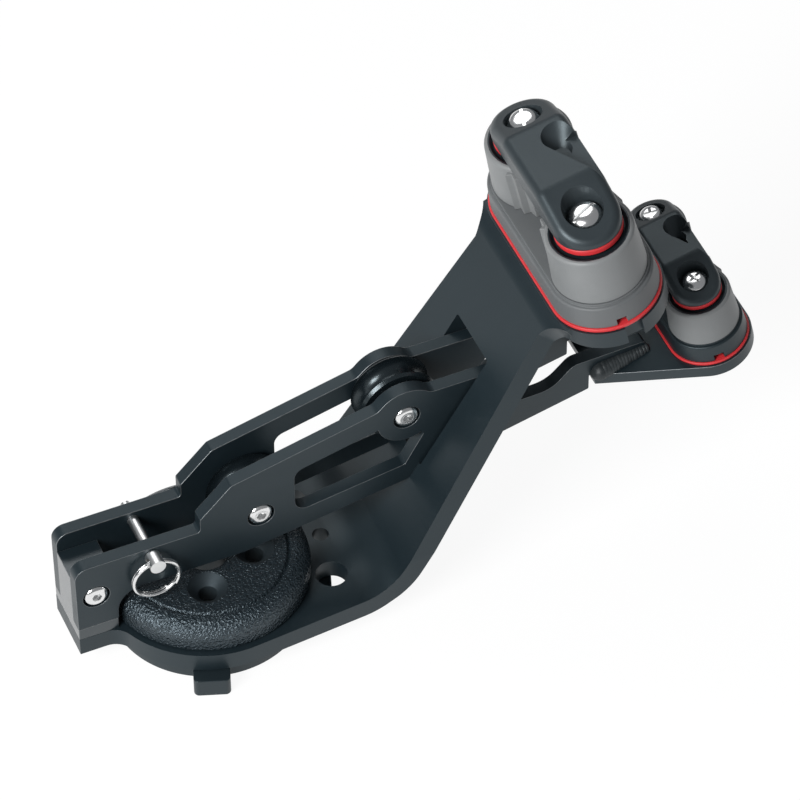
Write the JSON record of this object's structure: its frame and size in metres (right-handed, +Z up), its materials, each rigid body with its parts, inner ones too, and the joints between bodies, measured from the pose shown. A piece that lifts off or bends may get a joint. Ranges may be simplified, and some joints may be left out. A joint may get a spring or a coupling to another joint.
{
  "type": "swivel cam cleat",
  "caption": "Swivelling deck base with a folded arm, two sheaves between side cheeks and a large and a small cam cleat at its raised end.",
  "frame": {"origin": "centre of the base's underside, on the deck, where the swivel axis meets it", "axes": "+Z up along the swivel axis, +X along the arm towards the cleats at rest"},
  "size_m": [0.1954, 0.0694, 0.1322],
  "materials": {
    "anodised_metal": "satin black hard anodising",
    "base_polymer": "satin black moulding",
    "wrinkle_cap": "coarse wrinkle black",
    "race_ball": "polished acetal",
    "stainless": "polished stainless",
    "red_seal": "smooth red seal",
    "cover_polymer": "satin dark grey moulding",
    "cam_metal": "satin grey hard coat",
    "sheave_polymer": "smooth black acetal",
    "weld_bead": "rippled black anodised bead"
  },
  "bodies": {
    "base": {"base_flange": "base_polymer", "base_dome": "wrinkle_cap", "race_balls": "race_ball"},
    "arm": {"main_arm": "anodised_metal", "end_block": "anodised_metal", "block_screw": "stainless", "front_cheek": "anodised_metal", "rear_cheek": "anodised_metal", "lower_plate": "anodised_metal", "front_weld": "weld_bead", "rear_weld": "weld_bead", "axle_1": "stainless", "axle_2": "stainless", "sheave_1_washers": "stainless", "sheave_2_washers": "stainless", "upper_gasket": "red_seal", "upper_base": "cam_metal", "upper_cover": "cover_polymer", "lower_gasket": "red_seal", "lower_base": "base_polymer", "lower_cover": "cover_polymer", "front_end_screw": "stainless", "front_axle_1_screw": "stainless", "front_axle_2_screw": "stainless", "upper_front_post": "stainless", "upper_front_ring": "red_seal", "upper_front_screw": "stainless", "upper_front_spring": "stainless", "lower_front_post": "stainless", "lower_front_ring": "red_seal", "lower_front_screw": "stainless", "lower_front_spring": "stainless", "rear_end_screw": "stainless", "rear_axle_1_screw": "stainless", "rear_axle_2_screw": "stainless", "upper_rear_post": "stainless", "upper_rear_ring": "red_seal", "upper_rear_screw": "stainless", "upper_rear_spring": "stainless", "lower_rear_post": "stainless", "lower_rear_ring": "red_seal", "lower_rear_screw": "stainless", "lower_rear_spring": "stainless"},
    "sheave_1": {"sheave_1": "sheave_polymer"},
    "sheave_2": {"sheave_2": "sheave_polymer"},
    "release_pin": {"release_pin": "stainless"},
    "split_ring": {"split_ring": "stainless"},
    "upper_front_cam": {"upper_front_cam": "cam_metal"},
    "lower_front_cam": {"lower_front_cam": "cam_metal"},
    "upper_rear_cam": {"upper_rear_cam": "cam_metal"},
    "lower_rear_cam": {"lower_rear_cam": "cam_metal"}
  },
  "joints": [
    {"name": "swivel", "type": "hinge", "parent": "base", "child": "arm", "pos_m": [0, 0, 0.0091], "axis": [0, 0, 1], "continuous": true},
    {"name": "sheave_1_spin", "type": "hinge", "parent": "arm", "child": "sheave_1", "pos_m": [0.013, 0, 0.0382], "axis": [0, 1, 0], "continuous": true},
    {"name": "sheave_2_spin", "type": "hinge", "parent": "arm", "child": "sheave_2", "pos_m": [0.0556, 0, 0.058], "axis": [0, 1, 0], "continuous": true},
    {"name": "pin_pull", "type": "slide", "parent": "arm", "child": "release_pin", "axis": [0, -1, 0], "range_m": [0, 0.026]},
    {"name": "ring_swing", "type": "hinge", "parent": "release_pin", "child": "split_ring", "pos_m": [-0.0184, -0.01125, 0.0363], "axis": [1, 0, 0], "range_deg": [-60, 0]},
    {"name": "upper_front_cam_turn", "type": "hinge", "parent": "arm", "child": "upper_front_cam", "pos_m": [0.10495, -0.019, 0.11005], "axis": [-0.2164, 0, 0.9763], "range_deg": [-45, 0], "stiffness_Nm_per_rad": 0.12, "springref_deg": 28.65},
    {"name": "upper_rear_cam_turn", "type": "hinge", "parent": "arm", "child": "upper_rear_cam", "pos_m": [0.10495, 0.019, 0.11005], "axis": [-0.2164, 0, 0.9763], "range_deg": [0, 45], "stiffness_Nm_per_rad": 0.12, "springref_deg": -28.65},
    {"name": "lower_front_cam_turn", "type": "hinge", "parent": "arm", "child": "lower_front_cam", "pos_m": [0.13915, -0.0135, 0.07314], "axis": [-0.2164, 0, 0.9763], "range_deg": [-45, 0], "stiffness_Nm_per_rad": 0.08, "springref_deg": 28.65},
    {"name": "lower_rear_cam_turn", "type": "hinge", "parent": "arm", "child": "lower_rear_cam", "pos_m": [0.13915, 0.0135, 0.07314], "axis": [-0.2164, 0, 0.9763], "range_deg": [0, 45], "stiffness_Nm_per_rad": 0.08, "springref_deg": -28.65}
  ]
}
